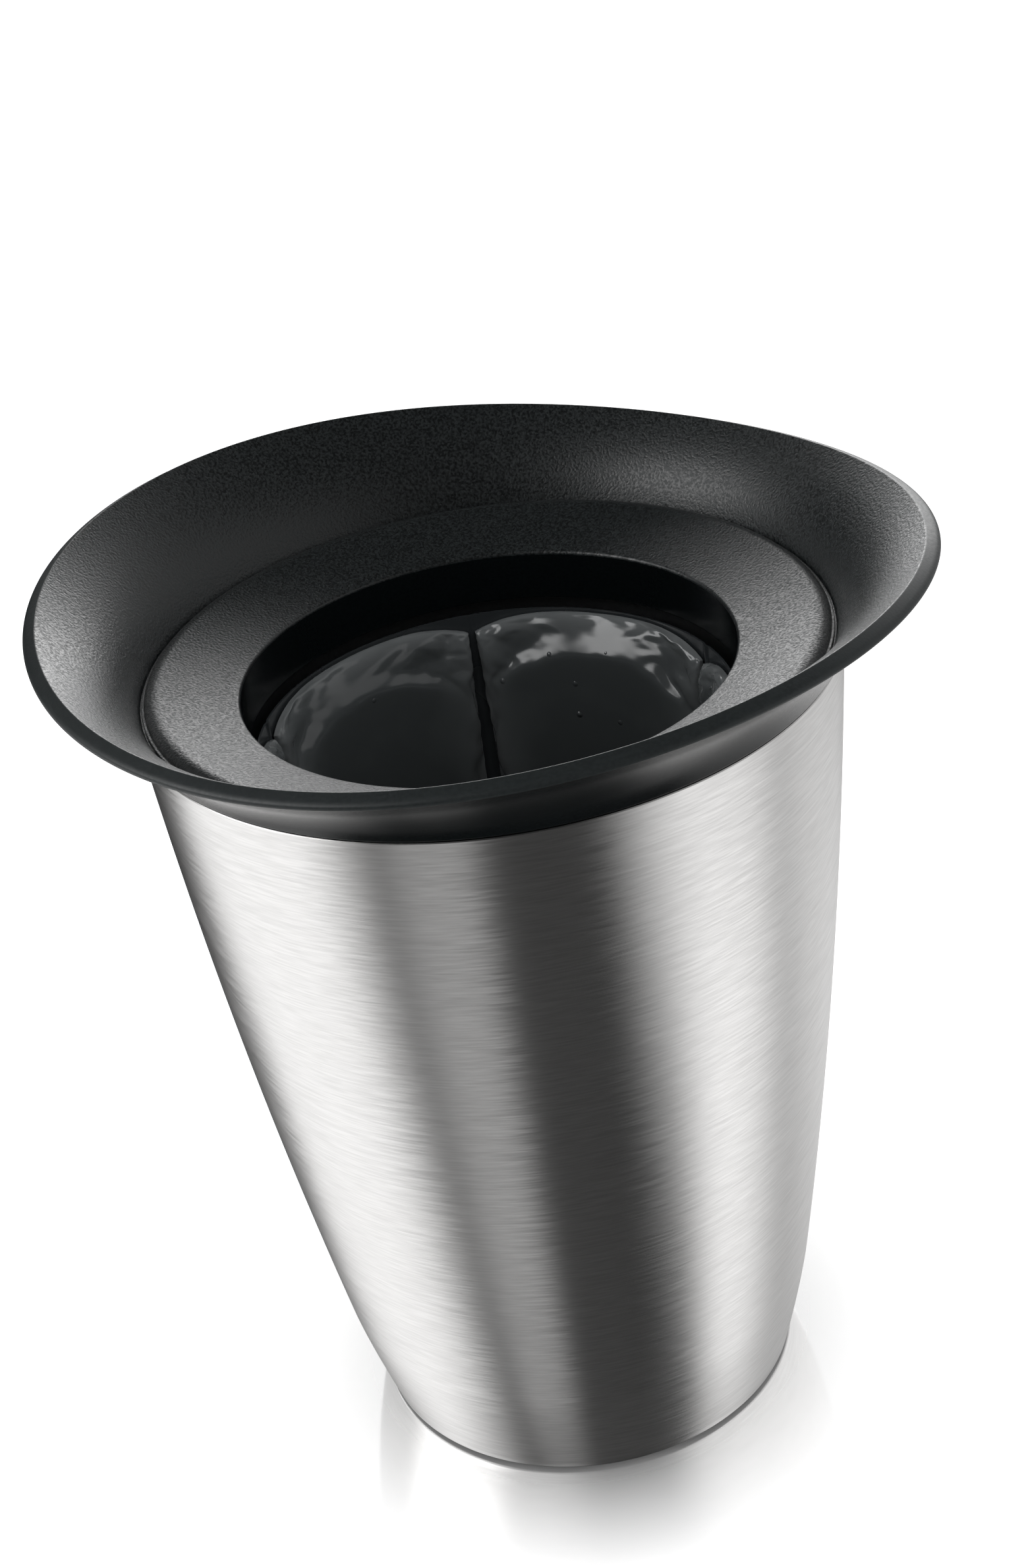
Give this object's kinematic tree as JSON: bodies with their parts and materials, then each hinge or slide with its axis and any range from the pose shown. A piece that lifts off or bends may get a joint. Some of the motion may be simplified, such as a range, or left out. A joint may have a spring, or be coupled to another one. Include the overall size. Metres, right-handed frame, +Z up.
{
  "type": "table champagne cooler",
  "caption": "Tapered steel bottle cooler with a flared black collar, a lift-out neck ring and a lift-out sleeve of gel pads that chills the bottle standing in its well.",
  "frame": {"origin": "on the table, under the middle of the foot ring", "axes": "+Z up the bottle's axis, X through the collar's two high sides, Y through its two low sides"},
  "size_m": [0.1984, 0.1868, 0.2151],
  "materials": {
    "steel": "circumferentially brushed stainless steel",
    "collar_plastic": "fine spark-textured black moulding",
    "liner_plastic": "plain black moulding",
    "rubber": "matte",
    "screw_steel": "zinc plated",
    "film": "glossy film",
    "gel": "glossy gel-filled film"
  },
  "bodies": {
    "bucket": {"steel_shell": "steel", "flared_collar": "collar_plastic", "inner_liner": "liner_plastic", "collar_seal": "rubber", "base_cap": "liner_plastic", "foot_ring": "rubber", "bottle_rest": "rubber", "base_screw_1": "screw_steel", "base_screw_2": "screw_steel", "base_screw_3": "screw_steel", "base_screw_4": "screw_steel"},
    "ring": {"neck_ring": "collar_plastic"},
    "sleeve": {"sleeve_film": "film", "gel_pad_1": "gel", "gel_pad_2": "gel", "gel_pad_3": "gel", "gel_pad_4": "gel", "gel_pad_5": "gel"}
  },
  "joints": [
    {"name": "ring_lift", "type": "slide", "parent": "bucket", "child": "ring", "axis": [0, 0, 1], "range_m": [0, 0.06]},
    {"name": "sleeve_lift", "type": "slide", "parent": "bucket", "child": "sleeve", "axis": [0, 0, 1], "range_m": [0, 0.22]}
  ]
}
